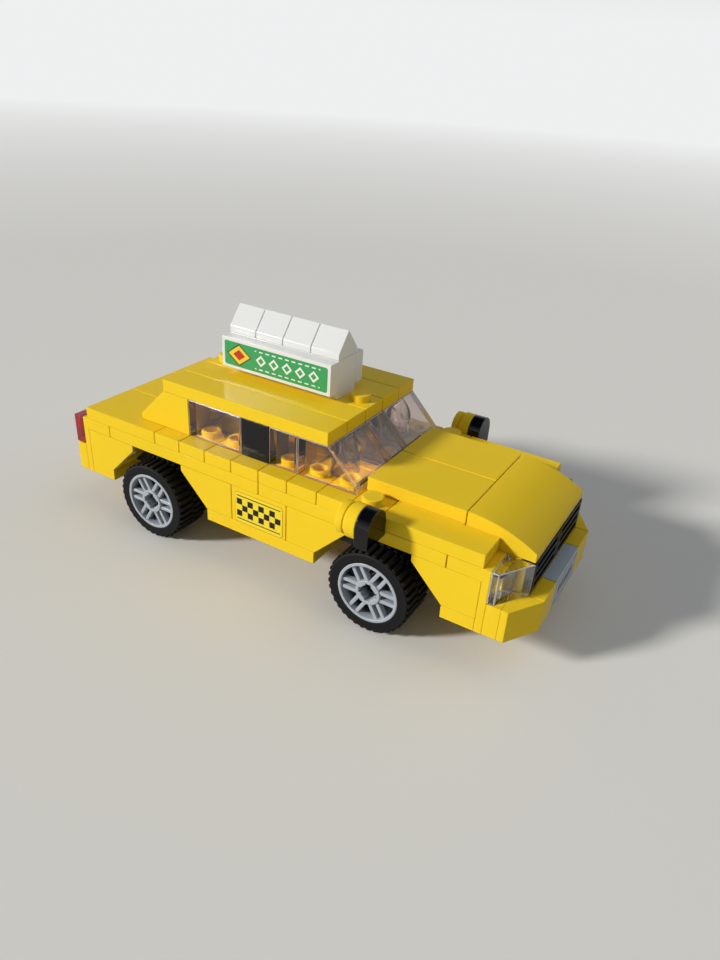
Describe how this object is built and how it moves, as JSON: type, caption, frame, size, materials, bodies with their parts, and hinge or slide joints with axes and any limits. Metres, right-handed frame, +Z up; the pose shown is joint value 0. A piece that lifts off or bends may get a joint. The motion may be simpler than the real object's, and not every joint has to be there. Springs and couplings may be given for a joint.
{
  "type": "toy taxi",
  "caption": "Toy taxi built from interlocking plastic bricks, with turning wheels, a roof sign, clear windows and side mirrors.",
  "frame": {"origin": "on the ground below the middle of the car, so the tyres stand on Z = 0", "axes": "+X forward, +Y to the taxi's left, +Z up"},
  "size_m": [0.1282, 0.0638, 0.0575],
  "materials": {
    "yellow": "gloss",
    "black": "gloss",
    "gloss_black": "high gloss",
    "dark_grey": "gloss",
    "grey_rim": "gloss",
    "tyre": "satin",
    "smoky_clear": "gloss",
    "clear": "gloss",
    "red_clear": "gloss",
    "white": "gloss",
    "light_grey": "gloss"
  },
  "bodies": {
    "car": {"rear_wheel_holder": "black", "front_wheel_holder": "black", "rear_core_bricks": "dark_grey", "front_core_bricks": "dark_grey", "middle_core_bricks": "dark_grey", "rear_end_brick": "dark_grey", "front_end_brick": "dark_grey", "bottom_plate_middle": "yellow", "bottom_plate_rear": "yellow", "bottom_plate_front": "yellow", "floor_plate_rear": "yellow", "floor_plate_front": "yellow", "rear_arches": "yellow", "front_arches": "yellow", "sill_slopes": "yellow", "door_left": "yellow", "door_right": "yellow", "front_brackets": "yellow", "rear_brackets": "yellow", "belt_plates_left": "yellow", "belt_plates_right": "yellow", "belt_plates_middle": "yellow", "trunk_tiles": "yellow", "c_pillars": "yellow", "b_pillars": "black", "side_glass_left": "smoky_clear", "side_glass_right": "smoky_clear", "windscreen_left": "smoky_clear", "windscreen_middle": "smoky_clear", "windscreen_right": "smoky_clear", "rear_window": "smoky_clear", "roof_tiles": "yellow", "roof_centre_plate": "yellow", "sign_core": "white", "sign_panels": "white", "sign_ridges": "white", "hood_tiles": "yellow", "hood_curve": "yellow", "hood_plates": "yellow", "fender_tiles": "yellow", "mirror_brackets": "yellow", "mirror_stems": "yellow", "mirrors": "gloss_black", "headlamps": "clear", "grille_tiles": "gloss_black", "bumper_beam": "yellow", "front_plates": "yellow", "bumper_trim": "yellow", "number_plate_front": "light_grey", "tail_lights": "red_clear", "tailgate_tiles": "yellow", "number_plate_rear": "light_grey"},
    "wheel_rear_left": {"rim_rear_left": "grey_rim", "tyre_rear_left": "tyre"},
    "wheel_rear_right": {"rim_rear_right": "grey_rim", "tyre_rear_right": "tyre"},
    "wheel_front_left": {"rim_front_left": "grey_rim", "tyre_front_left": "tyre"},
    "wheel_front_right": {"rim_front_right": "grey_rim", "tyre_front_right": "tyre"}
  },
  "joints": [
    {"name": "wheel_rear_left_spin", "type": "hinge", "parent": "car", "child": "wheel_rear_left", "pos_m": [-0.0352, 0.02205, 0.01025], "axis": [0, 1, 0], "continuous": true},
    {"name": "wheel_rear_right_spin", "type": "hinge", "parent": "car", "child": "wheel_rear_right", "pos_m": [-0.0352, -0.02205, 0.01025], "axis": [0, 1, 0], "continuous": true},
    {"name": "wheel_front_left_spin", "type": "hinge", "parent": "car", "child": "wheel_front_left", "pos_m": [0.0288, 0.02205, 0.01025], "axis": [0, 1, 0], "continuous": true},
    {"name": "wheel_front_right_spin", "type": "hinge", "parent": "car", "child": "wheel_front_right", "pos_m": [0.0288, -0.02205, 0.01025], "axis": [0, 1, 0], "continuous": true}
  ]
}
